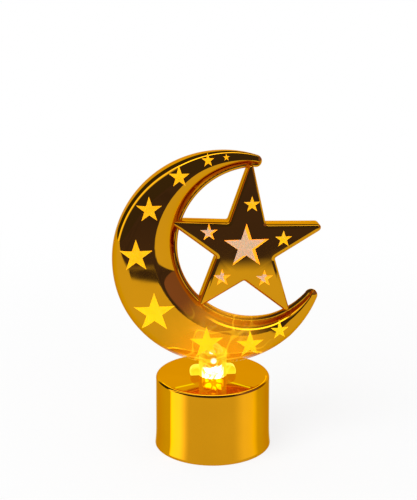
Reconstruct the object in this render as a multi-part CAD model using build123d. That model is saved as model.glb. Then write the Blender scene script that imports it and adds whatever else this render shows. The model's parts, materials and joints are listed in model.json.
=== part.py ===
from build123d import *
import math
import os

# Lit crescent and star ornament on a round base, in millimetres.
# Frame: +Z up, origin at the centre of the foot, the ornament faces -Y.

# Base cup, a drafted cylinder with a flared foot
FOOT_R = 20.0
FOOT_FLARE = 0.38
WAIST_Z = 6.5
BASE_DRAFT = 0.17
BASE_H = 25.0
BASE_EDGE_R = 1.1
CUP_WALL = 1.5
CUP_ROOF = 1.6
SEAT_STEP = 0.65

# Crescent: an outer disc with a rounded edge, less an oblique cone from crease to inner edge.
# The circles of the inner edge and the crease are shares of the disc's radius, in size and in shift.
DISC_X = 3.1
DISC_Z = 66.5
DISC_R = 36.4
DISC_HALF_T = 6.5
DISC_EDGE_R = 5.5
INNER_SHARE = 0.72
INNER_SHIFT = (0.2995, 0.1209)
INNER_WALL_HALF_T = 1.75
CREASE_SHARE = 0.8132
CREASE_SHIFT = (0.1868, 0.1154)
UPPER_HORN_DEG = 71.2
LOWER_HORN_DEG = -25.4
HORN_SPARE_DEG = 4.0
CREASE_EDGE_R = 1.2
SHELL_WALL = 1.2

# Star between the horns, its arms as long as each one's reach to the crescent
STAR_X = 10.85
STAR_Z = 70.0
STAR_TURN_DEG = 3.05
STAR_REACH = (30.6, 28.4, 28.6, 26.6, 28.4)
STAR_INNER_R = 10.4
STAR_TIP_R = 0.9
STAR_HALF_T = 3.5
STAR_EDGE_R = 0.7

# Star windows: places where the plating is left off, as shallow recesses (x, z, tip radius)
WINDOW_DEPTH = 0.2
CRESCENT_WINDOWS = (
    (4.1, 100.8, 1.15),
    (-2.0, 100.1, 2.15),
    (-11.5, 95.2, 3.5),
    (-21.4, 84.8, 4.35),
    (-25.9, 69.5, 5.65),
    (-20.2, 49.8, 7.1),
    (-2.8, 38.4, 5.8),
    (12.0, 37.1, 4.8),
    (22.3, 41.3, 3.25),
)
CENTRE_WINDOW_X = 10.8
CENTRE_WINDOW_Z = 71.0
CENTRE_WINDOW_R = 7.7
ARM_WINDOW_RING_R = 13.2
ARM_WINDOW_R = 3.0

# Neck between ornament and base, with a lug each side that stands on the base
NECK_R = 4.75
NECK_WALL = 0.95
SPIGOT_LEN = 3.0
SPIGOT_END_FIT = 0.5
SOCKET_FIT = 0.1
SOCKET_WALL = 1.4
LUG_REACH = 7.85
LUG_H = 3.2
LUG_CORNER_R = 2.0
LUG_HALF_T = 1.5

# Light guide and lamp
DOME_RISE = 11.2
DOME_FIT = 0.15
DOME_FLANGE_R = 5.8
DOME_FLANGE_T = 1.5
LED_R = 2.5
LED_FIT = 0.5
LED_FLANGE_R = 2.85
LED_FLANGE_T = 1.0
LED_H = 8.7
LED_STANDOFF = 1.2
LEAD_W = 0.5
LEAD_PITCH = 2.54
LEAD_IN_LENS = 3.0
LEAD_TAIL = 1.0

# Circuit board
BOARD_R = 12.6
BOARD_T = 1.2
BOARD_SCREW_RING_R = 9.6
BOARD_SCREW_DEG = 45.0
BOARD_SCREW_LEN = 5.0
BOARD_BOSS_R = 2.2
RESISTOR_X = 3.2
RESISTOR_Y = -9.0
RESISTOR_R = 1.0
RESISTOR_LEN = 4.2
RESISTOR_PITCH = 7.0
RESISTOR_LEAD_R = 0.25
RESISTOR_RISE = 0.2

# Screws, one head and shank for all
SCREW_R = 0.95
SCREW_HEAD_R = 1.9
SCREW_HEAD_T = 1.1
SCREW_SLOT_LEN = 2.3
SCREW_SLOT_W = 0.5
SCREW_SLOT_DEPTH = 0.5
HOLE_FIT = 0.2

# Bottom cover
COVER_T = 2.0
COVER_RECESS = 0.9
COVER_FIT = 0.3
COVER_SCREW_INSET = 2.75
COVER_SCREW_DEG = 22.3
COVER_SCREW_LEN = 7.0
COVER_BOSS_R = 2.4
COVER_BOSS_H = 9.0
COVER_BORE_T = 0.8

# Cell holder and its twist door
CELL_R = 10.0
CELL_T = 3.2
CELL_STEP_R = 8.9
CELL_STEP_T = 0.4
CELL_FIT = 0.4
HOLDER_WALL = 0.8
HOLDER_ROOF = 1.0
CONTACT_ROOM = 1.0
DOOR_R = 11.8
DOOR_FLANGE_T = 1.0
DOOR_PLUG_R = 10.3
DOOR_LUG_REACH = 0.9
DOOR_LUG_T = 0.9
DOOR_LUG_DEG = 30.0
DOOR_LUG_FIT_DEG = 4.0
DOOR_FIT = 0.3
COIN_SLOT_LEN = 13.0
COIN_SLOT_W = 1.8
COIN_SLOT_DEPTH = 0.6

# Contacts, bent from strip
STRIP_T = 0.3
STRIP_W = 3.0
TAB_RISE = 1.4
LEAF_TAB_X = 8.6
LEAF_FLAT_X = 2.0
LEAF_TIP_X = -4.0

# Slide switch
SWITCH_INSET = 4.925
SWITCH_LEN = 8.6
SWITCH_W = 4.6
SWITCH_H = 4.3
SWITCH_SHEET = 0.4
SWITCH_RIB_T = 0.9
SWITCH_RIB_H = 2.4
SWITCH_FIT = 0.1
WAFER_T = 0.8
TERMINAL_PITCH = 2.5
TERMINAL_W = 0.8
TERMINAL_T = 0.4
TERMINAL_H = 2.6
TERMINAL_DIP = 0.9
KNOB_LEN = 2.6
KNOB_W = 2.0
KNOB_TRAVEL = 3.0
KNOB_CLEAR_FLOOR = 0.35
KNOB_HEAD_LEN = 4.0
KNOB_HEAD_W = 3.2
KNOB_HEAD_T = 1.8
KNOB_FIT = 0.3

# Wires
WIRE_R = 0.5
WIRE_BEND_R = 1.0
RED_TURN_Y = -9.5
YELLOW_JOINT = (1.5, -6.5)
BLACK_JOINT = (5.0, -2.5)

# Radii, places and heights that follow from the sizes above
INNER_R = INNER_SHARE * DISC_R
INNER_X = DISC_X + INNER_SHIFT[0] * DISC_R
INNER_Z = DISC_Z + INNER_SHIFT[1] * DISC_R
CREASE_R = CREASE_SHARE * DISC_R
CREASE_X = DISC_X + CREASE_SHIFT[0] * DISC_R
CREASE_Z = DISC_Z + CREASE_SHIFT[1] * DISC_R
WAIST_R = FOOT_R - FOOT_FLARE
BASE_TOP_R = WAIST_R - BASE_DRAFT
COVER_ROOM_R = FOOT_R - CUP_WALL + SEAT_STEP / 2
SEAT_R = COVER_ROOM_R - SEAT_STEP
COVER_Z = COVER_RECESS
COVER_TOP = COVER_Z + COVER_T
CUP_ROOF_Z = BASE_H - CUP_ROOF
SPIGOT_Z = BASE_H - SPIGOT_LEN
SOCKET_R = NECK_R + SOCKET_FIT
SOCKET_Z = SPIGOT_Z - SPIGOT_END_FIT
BOARD_TOP = SOCKET_Z - DOME_FLANGE_T
BOARD_Z = BOARD_TOP - BOARD_T
LED_Z = BOARD_TOP + LED_STANDOFF
DOME_TOP_Z = BASE_H + DOME_RISE
NECK_BORE_R = NECK_R - NECK_WALL
DOME_R = NECK_BORE_R - DOME_FIT
DOME_BORE_R = LED_R + LED_FIT
DOOR_TOP = COVER_TOP + DOOR_FIT + DOOR_LUG_T
CELL_Z = DOOR_TOP + DOOR_FIT
HOLDER_IN_R = CELL_R + CELL_FIT
LUG_ROOM_R = DOOR_PLUG_R + DOOR_LUG_REACH + DOOR_FIT
HOLDER_R = max(HOLDER_IN_R, LUG_ROOM_R) + HOLDER_WALL
POCKET_LEN = SWITCH_LEN + 2 * SWITCH_FIT
POCKET_W = SWITCH_W + 2 * SWITCH_FIT
SWITCH_Y = SWITCH_INSET - COVER_ROOM_R
HOLDER_Y = SWITCH_Y + POCKET_W / 2 + SWITCH_RIB_T + HOLDER_R
HOLDER_IN_TOP = CELL_Z + 2 * CELL_T + CONTACT_ROOM
HOLDER_TOP = HOLDER_IN_TOP + HOLDER_ROOF
TAB_TOP = HOLDER_TOP + TAB_RISE
SWITCH_TOP = COVER_TOP + SWITCH_H
TERMINAL_TOP = SWITCH_TOP + WAFER_T + TERMINAL_H
CUT = 1.0


def front(x, z):
    """A place on the mid-plane, with drawings seen from the front and extrusions running to -Y."""
    return Plane.XZ * Pos(x, z)


def tube(outer_r, inner_r, height):
    """An upright tube standing on its own origin."""
    return extrude(Circle(outer_r) - Circle(inner_r), height)


def rod(radius, height):
    """An upright rod standing on its own origin."""
    return extrude(Circle(radius), height)


def bar(length, width, height):
    """An upright bar standing on its own origin."""
    return extrude(Rectangle(length, width), height)


def star_outline(reaches, inner_r, turn_deg):
    """Corner points of a five-point star, clockwise from the top arm."""
    points = []
    for arm, reach in enumerate(reaches):
        tip_angle = math.radians(90 - turn_deg - 72 * arm)
        notch_angle = tip_angle - math.radians(36)
        points.append(Vector(reach * math.cos(tip_angle), reach * math.sin(tip_angle)))
        points.append(Vector(inner_r * math.cos(notch_angle), inner_r * math.sin(notch_angle)))
    return points


def moved_inwards(points, inset):
    """The corners of a clockwise outline whose every side is moved inwards by the inset."""
    corners = []
    for index, corner in enumerate(points):
        arriving = (corner - points[index - 1]).normalized()
        leaving = (points[(index + 1) % len(points)] - corner).normalized()
        inwards = Vector(arriving.Y + leaving.Y, -arriving.X - leaving.X)
        corners.append(corner + inwards * (inset / (1 + arriving.dot(leaving))))
    return corners


def plain_star(radius):
    """A regular five-point star face."""
    inner_r = radius * math.cos(math.radians(72)) / math.cos(math.radians(36))
    return make_face(Polyline(*star_outline([radius] * 5, inner_r, 0), close=True))


def horn_place(angle_deg):
    """A place on the middle of the crescent's width, and half that width, at an angle about the disc."""
    ray = Vector(math.cos(math.radians(angle_deg)), math.sin(math.radians(angle_deg)))
    apart = Vector(DISC_X - INNER_X, DISC_Z - INNER_Z)
    along = apart.dot(ray)
    inner_reach = -along + math.sqrt(along**2 - apart.dot(apart) + INNER_R**2)
    centre = Vector(DISC_X, DISC_Z) + ray * ((DISC_R + inner_reach) / 2)
    return centre, (DISC_R - inner_reach) / 2


def horn_cut(spare_deg):
    """Front outline that stops both horns square, at their tips or some degrees past them."""
    outline = Pos(DISC_X, DISC_Z) * Circle(DISC_R + CUT)
    for angle_deg, turn in ((UPPER_HORN_DEG, -1), (LOWER_HORN_DEG, 1)):
        stop_deg = angle_deg + turn * spare_deg
        centre, half_width = horn_place(stop_deg)
        beyond = Rectangle(DISC_R, DISC_R / 2, align=(Align.MIN, Align.CENTER))
        outline -= Pos(centre.X, centre.Y) * Rot(0, 0, stop_deg + turn * 90) * beyond
    return extrude(Plane.XZ * outline, DISC_HALF_T + CUT)


def horn_nose(angle_deg, inset):
    """A spindle about a horn's tip, which rounds the end of the horn."""
    centre, half_width = horn_place(angle_deg)
    radius = half_width - inset
    straight = DISC_HALF_T - DISC_EDGE_R
    length = DISC_HALF_T - inset
    oval = Bezier((0, -length), (radius / 2, -length), (radius, -length / 2), (radius, -straight))
    sides = Polyline(oval @ 0, (0, 0), (radius, 0), oval @ 1)
    return Pos(centre.X, 0, centre.Y) * revolve(make_face([oval, sides]), Axis.Y)


def crescent_half(inset):
    """Front half of the crescent, with every outer face moved inwards by the inset."""
    radius = DISC_R - inset
    depth = DISC_HALF_T - inset
    edge_r = DISC_EDGE_R - inset
    rim = (radius, edge_r - depth)
    brim = (radius - edge_r, -depth)
    outline = Polyline(rim, (radius, 0), (0, 0), (0, -depth), brim)
    edge = RadiusArc(brim, rim, -edge_r)
    disc = Pos(DISC_X, 0, DISC_Z) * revolve(make_face([outline, edge]), Axis.Y)

    # The bevel is a cone between two circles that share no centre, carried on past the front face
    slope_run = DISC_HALF_T - INNER_WALL_HALF_T
    carry = 1 + CUT / slope_run
    mouth_x = INNER_X + (CREASE_X - INNER_X) * carry
    mouth_z = INNER_Z + (CREASE_Z - INNER_Z) * carry
    mouth_r = INNER_R + (CREASE_R - INNER_R) * carry
    throat = Plane.XZ.offset(INNER_WALL_HALF_T) * Pos(INNER_X, INNER_Z) * Circle(INNER_R + inset)
    mouth = Plane.XZ.offset(DISC_HALF_T + CUT) * Pos(mouth_x, mouth_z) * Circle(mouth_r + inset)
    bevel = loft([throat, mouth], ruled=True)
    well = extrude(front(INNER_X, INNER_Z) * Circle(INNER_R + inset), INNER_WALL_HALF_T)

    body = (disc - bevel - well) & horn_cut(HORN_SPARE_DEG)
    if inset < CREASE_EDGE_R:
        curves = body.edges().filter_by(GeomType.BSPLINE)
        crease = [curve for curve in curves if curve.length > DISC_EDGE_R]
        body = fillet(crease, CREASE_EDGE_R - inset)
    noses = [horn_nose(angle_deg, inset) for angle_deg in (UPPER_HORN_DEG, LOWER_HORN_DEG)]
    return body & (horn_cut(0) + noses)


def star_half(inset):
    """Front half of the star, with every outer face moved inwards by the inset."""
    corners = star_outline(STAR_REACH, STAR_INNER_R, STAR_TURN_DEG)
    face = make_face(Polyline(*moved_inwards(corners, inset), close=True))
    if inset < STAR_TIP_R:
        tips = [vertex for vertex in face.vertices() if Vector(vertex).length > 2 * STAR_INNER_R]
        face = fillet(tips, STAR_TIP_R - inset)
    block = extrude(front(STAR_X, STAR_Z) * face, STAR_HALF_T - inset)
    if inset < STAR_EDGE_R:
        front_edges = block.faces().sort_by(Axis.Y)[0].edges()
        block = fillet(front_edges, STAR_EDGE_R - inset)
    return block


def window_prisms():
    """Star prisms through the front half, one for each place without plating."""
    places = list(CRESCENT_WINDOWS)
    places.append((CENTRE_WINDOW_X, CENTRE_WINDOW_Z, CENTRE_WINDOW_R))
    for arm in range(5):
        angle = math.radians(90 - STAR_TURN_DEG - 72 * arm)
        x = CENTRE_WINDOW_X + ARM_WINDOW_RING_R * math.cos(angle)
        z = CENTRE_WINDOW_Z + ARM_WINDOW_RING_R * math.sin(angle)
        places.append((x, z, ARM_WINDOW_R))
    depth = DISC_HALF_T + CUT
    return [extrude(front(x, z) * plain_star(radius), depth) for x, z, radius in places]


def front_half_shell():
    """Hollow front half of crescent, star, neck and lugs, with the star windows sunk in its skin."""
    neck_len = DISC_Z - DISC_R + DISC_EDGE_R - SPIGOT_Z
    front_side = Pos(0, -NECK_R, SPIGOT_Z) * bar(2 * NECK_R, 2 * NECK_R, neck_len)
    neck = Pos(0, 0, SPIGOT_Z) * rod(NECK_R, neck_len) & front_side
    bore = Pos(0, 0, SPIGOT_Z) * rod(NECK_BORE_R, neck_len) & front_side
    lug_face = Rectangle(2 * LUG_REACH, LUG_H, align=(Align.CENTER, Align.MIN))
    lug_face = fillet(lug_face.vertices().group_by(Axis.Y)[-1], LUG_CORNER_R)
    lugs = extrude(front(0, BASE_H) * lug_face, LUG_HALF_T)

    skin = crescent_half(0) + star_half(0)
    under_skin = crescent_half(WINDOW_DEPTH) + star_half(WINDOW_DEPTH)
    recesses = [prism - under_skin for prism in window_prisms()]
    hollow = crescent_half(SHELL_WALL) + star_half(SHELL_WALL) + bore
    return skin + neck + lugs - recesses - hollow


def screw(length):
    """A screw pointing up, its head's underside at its own origin."""
    head = Pos(0, 0, -SCREW_HEAD_T) * rod(SCREW_HEAD_R, SCREW_HEAD_T)
    body = head + rod(SCREW_R, length)
    for turn in (0, 90):
        slot = bar(SCREW_SLOT_LEN, SCREW_SLOT_W, SCREW_SLOT_DEPTH)
        body -= Pos(0, 0, -SCREW_HEAD_T) * Rot(0, 0, turn) * slot
    return body


def sector(radius, angle_deg, middle_deg):
    """A flat pie slice about its own origin."""
    start = math.radians(middle_deg - angle_deg / 2)
    middle = math.radians(middle_deg)
    stop = math.radians(middle_deg + angle_deg / 2)
    first, half, last = (
        (radius * math.cos(a), radius * math.sin(a)) for a in (start, middle, stop)
    )
    arc = ThreePointArc(first, half, last)
    return make_face([Line((0, 0), first), arc, Line(last, (0, 0))])


def wire(*points):
    """A round wire along straight runs with equal bends."""
    route = FilletPolyline(*points, radius=WIRE_BEND_R)
    return sweep(Plane(route @ 0, z_dir=route % 0) * Circle(WIRE_R), path=route)


parts = {}

# Ornament halves
parts["front_shell"] = front_half_shell()
parts["back_shell"] = mirror(parts["front_shell"], about=Plane.XZ)

# Base cup with its neck socket and bosses
foot = Polyline((COVER_ROOM_R, COVER_TOP), (COVER_ROOM_R, 0), (FOOT_R, 0))
flare = ThreePointArc(
    (FOOT_R, 0),
    (WAIST_R + (FOOT_R - WAIST_R) / 4, WAIST_Z / 2),
    (WAIST_R, WAIST_Z),
)
side = Polyline((WAIST_R, WAIST_Z), (BASE_TOP_R, BASE_H - BASE_EDGE_R))
shoulder = RadiusArc(side @ 1, (BASE_TOP_R - BASE_EDGE_R, BASE_H), -BASE_EDGE_R)
inside = Polyline(
    shoulder @ 1,
    (0, BASE_H),
    (0, CUP_ROOF_Z),
    (BASE_TOP_R - CUP_WALL, CUP_ROOF_Z),
    (SEAT_R, COVER_TOP),
    (COVER_ROOM_R, COVER_TOP),
)
cup_section = make_face([foot, flare, side, shoulder, inside])
base_cup = revolve(Plane.XZ * cup_section, Axis.Z)
base_cup += Pos(0, 0, SOCKET_Z) * rod(SOCKET_R + SOCKET_WALL, CUP_ROOF_Z - SOCKET_Z)
base_cup -= Pos(0, 0, SOCKET_Z) * rod(SOCKET_R, BASE_H - SOCKET_Z)
board_screw_spots = [
    Rot(0, 0, BOARD_SCREW_DEG + turn) * Pos(BOARD_SCREW_RING_R, 0, 0) for turn in (0, 180)
]
for spot in board_screw_spots:
    base_cup += spot * Pos(0, 0, BOARD_TOP) * rod(BOARD_BOSS_R, CUP_ROOF_Z - BOARD_TOP)
for spot in board_screw_spots:
    base_cup -= spot * Pos(0, 0, BOARD_TOP) * rod(SCREW_R, BOARD_SCREW_LEN - BOARD_T)
cover_screw_spots = [
    Rot(0, 0, turn) * Pos(COVER_ROOM_R - COVER_SCREW_INSET, 0, 0)
    for turn in (-COVER_SCREW_DEG, 180 + COVER_SCREW_DEG)
]
for spot in cover_screw_spots:
    base_cup += spot * Pos(0, 0, COVER_TOP) * rod(COVER_BOSS_R, COVER_BOSS_H)
for spot in cover_screw_spots:
    base_cup -= spot * Pos(0, 0, COVER_TOP) * rod(SCREW_R, COVER_SCREW_LEN)
parts["base_cup"] = base_cup

# Light guide, lamp and its legs
guide_height = DOME_TOP_Z - DOME_R - BOARD_TOP
lamp_dome = Pos(0, 0, BOARD_TOP) * (rod(DOME_R, guide_height) + rod(DOME_FLANGE_R, DOME_FLANGE_T))
lamp_dome += Pos(0, 0, DOME_TOP_Z - DOME_R) * Sphere(DOME_R)
lamp_top = LED_Z + LED_H + LED_FIT
lamp_dome -= Pos(0, 0, BOARD_TOP) * rod(DOME_BORE_R, lamp_top - DOME_BORE_R - BOARD_TOP)
lamp_dome -= Pos(0, 0, lamp_top - DOME_BORE_R) * Sphere(DOME_BORE_R)
parts["lamp_dome"] = lamp_dome

lead_spots = [Pos(side_x * LEAD_PITCH / 2, 0, 0) for side_x in (-1, 1)]
lead_z = BOARD_Z - LEAD_TAIL
lead_len = LED_Z + LEAD_IN_LENS - lead_z
leads = [spot * Pos(0, 0, lead_z) * bar(LEAD_W, LEAD_W, lead_len) for spot in lead_spots]
led_lens = Pos(0, 0, LED_Z) * (rod(LED_R, LED_H - LED_R) + rod(LED_FLANGE_R, LED_FLANGE_T))
led_lens += Pos(0, 0, LED_Z + LED_H - LED_R) * Sphere(LED_R)
led_lens -= leads
parts["led_lens"] = led_lens
parts["led_leads"] = Compound(children=leads)

# Resistor lying on the board, legs bent down through it
resistor_z = BOARD_TOP + RESISTOR_RISE + RESISTOR_R
resistor_foot = BOARD_Z - LEAD_TAIL
resistor_body = Plane.YZ * Circle(RESISTOR_R)
resistor = Pos(RESISTOR_X, RESISTOR_Y, resistor_z) * extrude(resistor_body, RESISTOR_LEN / 2, both=True)
leg_xs = (RESISTOR_X - RESISTOR_PITCH / 2, RESISTOR_X + RESISTOR_PITCH / 2)
leg_route = FilletPolyline(
    (leg_xs[0], RESISTOR_Y, resistor_foot),
    (leg_xs[0], RESISTOR_Y, resistor_z),
    (leg_xs[1], RESISTOR_Y, resistor_z),
    (leg_xs[1], RESISTOR_Y, resistor_foot),
    radius=2 * RESISTOR_LEAD_R,
)
resistor += sweep(Plane(leg_route @ 0, z_dir=leg_route % 0) * Circle(RESISTOR_LEAD_R), path=leg_route)
parts["resistor"] = resistor

# Circuit board, screwed up against the bosses
circuit_board = Pos(0, 0, BOARD_Z) * rod(BOARD_R, BOARD_T)
for spot in board_screw_spots:
    circuit_board -= spot * Pos(0, 0, BOARD_Z) * rod(SCREW_R + HOLE_FIT, BOARD_T)
for spot in lead_spots:
    circuit_board -= spot * Pos(0, 0, BOARD_Z) * bar(LEAD_W, LEAD_W, BOARD_T)
for leg_x in leg_xs:
    circuit_board -= Pos(leg_x, RESISTOR_Y, BOARD_Z) * rod(RESISTOR_LEAD_R, BOARD_T)
parts["circuit_board"] = circuit_board
board_screws = [spot * Pos(0, 0, BOARD_Z) * screw(BOARD_SCREW_LEN) for spot in board_screw_spots]
parts["board_screws"] = Compound(children=board_screws)

# Bottom cover with cell holder, switch pocket and screw holes
holder = Pos(0, HOLDER_Y, 0)
cover = Pos(0, 0, COVER_Z) * rod(COVER_ROOM_R - COVER_FIT, COVER_T)
cover += holder * Pos(0, 0, COVER_TOP) * rod(HOLDER_R, HOLDER_TOP - COVER_TOP)
ribs = bar(POCKET_LEN + 2 * SWITCH_RIB_T, POCKET_W + 2 * SWITCH_RIB_T, SWITCH_RIB_H)
switch = Pos(0, SWITCH_Y, COVER_TOP)
cover += switch * (ribs - bar(POCKET_LEN, POCKET_W, SWITCH_RIB_H))
slot_len = KNOB_LEN + KNOB_TRAVEL + 2 * KNOB_FIT
slot_w = KNOB_W + 2 * KNOB_FIT
cover -= Pos(0, SWITCH_Y, COVER_Z) * bar(slot_len, slot_w, COVER_T)
door_seat_t = DOOR_FLANGE_T + DOOR_FIT
cover -= holder * Pos(0, 0, COVER_Z) * rod(DOOR_R + DOOR_FIT, door_seat_t)
cover -= holder * Pos(0, 0, COVER_Z) * rod(DOOR_PLUG_R + DOOR_FIT, CELL_Z - COVER_Z)
for middle in (90, 270):
    lug_slot = extrude(sector(LUG_ROOM_R, DOOR_LUG_DEG + DOOR_LUG_FIT_DEG, middle), COVER_T)
    cover -= holder * Pos(0, 0, COVER_Z) * lug_slot
cover -= holder * Pos(0, 0, COVER_TOP) * rod(LUG_ROOM_R, CELL_Z - COVER_TOP)
cover -= holder * Pos(0, 0, CELL_Z) * rod(HOLDER_IN_R, HOLDER_IN_TOP - CELL_Z)
for spot in cover_screw_spots:
    cover -= spot * Pos(0, 0, COVER_Z) * rod(SCREW_R + HOLE_FIT, COVER_T)
    cover -= spot * Pos(0, 0, COVER_Z) * rod(SCREW_HEAD_R + HOLE_FIT, COVER_T - COVER_BORE_T)

# Contact strips, each with a solder tab through the holder's roof
leaf_top = HOLDER_IN_TOP - STRIP_T / 2
leaf_low = HOLDER_IN_TOP - CONTACT_ROOM + STRIP_T / 2
leaf_line = Polyline(
    (LEAF_TAB_X, TAB_TOP - STRIP_T / 2),
    (LEAF_TAB_X, leaf_top),
    (LEAF_FLAT_X, leaf_top),
    (LEAF_TIP_X, leaf_low),
)
leaf_face = make_face(offset(leaf_line, STRIP_T / 2, kind=Kind.INTERSECTION, side=Side.BOTH))
leaf_contact = holder * extrude(front(0, 0) * leaf_face, STRIP_W / 2, both=True)
strip_x = -CELL_R - STRIP_T / 2
side_contact = holder * Pos(strip_x, 0, CELL_Z) * bar(STRIP_T, STRIP_W, TAB_TOP - CELL_Z)
cover -= holder * Pos(strip_x, 0, CELL_Z) * bar(STRIP_T, STRIP_W, HOLDER_TOP - CELL_Z)
cover -= holder * Pos(LEAF_TAB_X, 0, HOLDER_IN_TOP) * bar(STRIP_T, STRIP_W, HOLDER_ROOF)
parts["bottom_cover"] = cover
parts["leaf_contact"] = leaf_contact
parts["side_contact"] = side_contact

screw_seat = Pos(0, 0, COVER_TOP - COVER_BORE_T)
cover_screws = [spot * screw_seat * screw(COVER_SCREW_LEN) for spot in cover_screw_spots]
parts["cover_screws"] = Compound(children=cover_screws)

# Coin cells, each a can with a smaller cap upwards
for name, level in (("coin_cell_lower", 0), ("coin_cell_upper", 1)):
    cell = rod(CELL_R, CELL_T - CELL_STEP_T) + rod(CELL_STEP_R, CELL_T)
    parts[name] = holder * Pos(0, 0, CELL_Z + level * CELL_T) * cell

# Twist door: flange below, plug above it, two lugs over the cover's ledge
door = rod(DOOR_R, DOOR_FLANGE_T) + rod(DOOR_PLUG_R, DOOR_TOP - COVER_Z)
lug_ring = tube(DOOR_PLUG_R + DOOR_LUG_REACH, DOOR_PLUG_R - CUT, DOOR_LUG_T)
for middle in (0, 180):
    lug_sector = extrude(sector(DOOR_R, DOOR_LUG_DEG, middle), DOOR_LUG_T)
    door += Pos(0, 0, DOOR_TOP - DOOR_LUG_T - COVER_Z) * (lug_ring & lug_sector)
door -= bar(COIN_SLOT_LEN, COIN_SLOT_W, COIN_SLOT_DEPTH)
parts["battery_door"] = holder * Pos(0, 0, COVER_Z) * door

# Slide switch, knob down through the cover
can = bar(SWITCH_LEN, SWITCH_W, SWITCH_H)
can_room = bar(SWITCH_LEN - 2 * SWITCH_SHEET, SWITCH_W - 2 * SWITCH_SHEET, SWITCH_H)
can -= Pos(0, 0, SWITCH_SHEET) * can_room
can -= bar(slot_len, slot_w, SWITCH_SHEET)
parts["switch_can"] = switch * can
terminal_spots = [Pos(step * TERMINAL_PITCH, 0, 0) for step in (-1, 0, 1)]
terminal = bar(TERMINAL_W, TERMINAL_T, TERMINAL_DIP + WAFER_T + TERMINAL_H)
terminal_foot = Pos(0, 0, SWITCH_H - TERMINAL_DIP)
terminals = [switch * spot * terminal_foot * terminal for spot in terminal_spots]
wafer = switch * Pos(0, 0, SWITCH_H) * bar(SWITCH_LEN, SWITCH_W, WAFER_T)
wafer -= terminals
parts["switch_wafer"] = wafer
parts["switch_terminals"] = Compound(children=terminals)
stem_len = COVER_TOP + SWITCH_SHEET + KNOB_FIT - KNOB_CLEAR_FLOOR
knob = bar(KNOB_LEN, KNOB_W, stem_len)
knob += Pos(0, 0, stem_len) * bar(KNOB_HEAD_LEN, KNOB_HEAD_W, KNOB_HEAD_T)
parts["switch_knob"] = Pos(-KNOB_TRAVEL / 2, SWITCH_Y, KNOB_CLEAR_FLOOR) * knob

# Wires, soldered end on to tabs, terminals and board
run_z = (TAB_TOP + BOARD_Z) / 2
low_run_z = (TERMINAL_TOP + BOARD_Z) / 2
parts["red_wire"] = wire(
    (strip_x, HOLDER_Y, TAB_TOP),
    (strip_x, HOLDER_Y, run_z),
    (strip_x, RED_TURN_Y, run_z),
    (-TERMINAL_PITCH, SWITCH_Y, run_z),
    (-TERMINAL_PITCH, SWITCH_Y, TERMINAL_TOP),
)
parts["yellow_wire"] = wire(
    (0, SWITCH_Y, TERMINAL_TOP),
    (0, SWITCH_Y, low_run_z),
    (*YELLOW_JOINT, low_run_z),
    (*YELLOW_JOINT, BOARD_Z),
)
parts["black_wire"] = wire(
    (LEAF_TAB_X, HOLDER_Y, TAB_TOP),
    (LEAF_TAB_X, HOLDER_Y, run_z),
    (*BLACK_JOINT, run_z),
    (*BLACK_JOINT, BOARD_Z),
)

os.makedirs("parts", exist_ok=True)
for name, shape in parts.items():
    export_step(shape, f"parts/{name}.step")
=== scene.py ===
import json
import math
import bpy
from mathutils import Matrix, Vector

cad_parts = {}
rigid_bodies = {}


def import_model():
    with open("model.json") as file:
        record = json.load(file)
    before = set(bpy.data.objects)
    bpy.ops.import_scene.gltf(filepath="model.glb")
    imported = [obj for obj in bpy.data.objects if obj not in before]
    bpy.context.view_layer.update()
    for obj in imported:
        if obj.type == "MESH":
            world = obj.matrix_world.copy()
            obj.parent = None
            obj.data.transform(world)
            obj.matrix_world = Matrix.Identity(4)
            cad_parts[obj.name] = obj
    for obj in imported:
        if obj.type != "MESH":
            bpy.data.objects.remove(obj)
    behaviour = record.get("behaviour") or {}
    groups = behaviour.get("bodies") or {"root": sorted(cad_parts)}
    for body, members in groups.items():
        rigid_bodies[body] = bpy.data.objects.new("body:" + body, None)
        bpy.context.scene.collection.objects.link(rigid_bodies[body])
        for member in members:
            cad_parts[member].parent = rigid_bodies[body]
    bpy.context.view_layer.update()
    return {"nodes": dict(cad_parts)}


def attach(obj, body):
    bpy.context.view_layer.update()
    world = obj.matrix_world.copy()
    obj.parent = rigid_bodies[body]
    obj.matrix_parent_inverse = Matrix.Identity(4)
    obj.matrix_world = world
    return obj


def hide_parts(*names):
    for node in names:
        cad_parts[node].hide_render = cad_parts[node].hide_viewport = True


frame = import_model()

nodes = frame["nodes"]

# Table, backdrop and camera of the studio: a white table top and white walls, as the camera sees them.
# Only mirror images show what else stands there: a dark room with bands of light, a dark floor in
# front of the ornament and a few reflectors close to it.
CAMERA_PLACE = (-0.04254, -0.37333, 0.17542)
CAMERA_DOWN_DEG = 15.81
CAMERA_TURN_DEG = 6.281
CAMERA_LENS = 84.386
scene = bpy.context.scene
scene.view_settings.view_transform = "Standard"

camera_data = bpy.data.cameras.new("camera")
camera_data.lens = CAMERA_LENS
camera_data.sensor_width = 36
camera_data.clip_start = 0.01
camera = bpy.data.objects.new("camera", camera_data)
camera.location = CAMERA_PLACE
camera.rotation_euler = (math.radians(90 - CAMERA_DOWN_DEG), 0, math.radians(-CAMERA_TURN_DEG))
scene.collection.objects.link(camera)
scene.camera = camera

FLOOR_HOLE_R = 0.0194
FLOOR_SPREAD = 160


def deselect():
    """Leave nothing selected, so that an operator acts on the new piece alone."""
    for shown in bpy.context.view_layer.objects:
        shown.select_set(False)


def new_material(name):
    """A node material with its shader at hand."""
    material = bpy.data.materials.new(name)
    material.use_nodes = True
    tree = material.node_tree
    return material, tree, tree.nodes["Principled BSDF"]


def set_inputs(node, inputs):
    """Set the values of a node's sockets."""
    for socket, value in inputs.items():
        node.inputs[socket].default_value = value


def add_node(tree, kind, inputs=None, **settings):
    """One shader node with its settings and the values of its sockets."""
    node = tree.nodes.new("ShaderNode" + kind)
    for setting, value in settings.items():
        setattr(node, setting, value)
    set_inputs(node, inputs or {})
    return node


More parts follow.
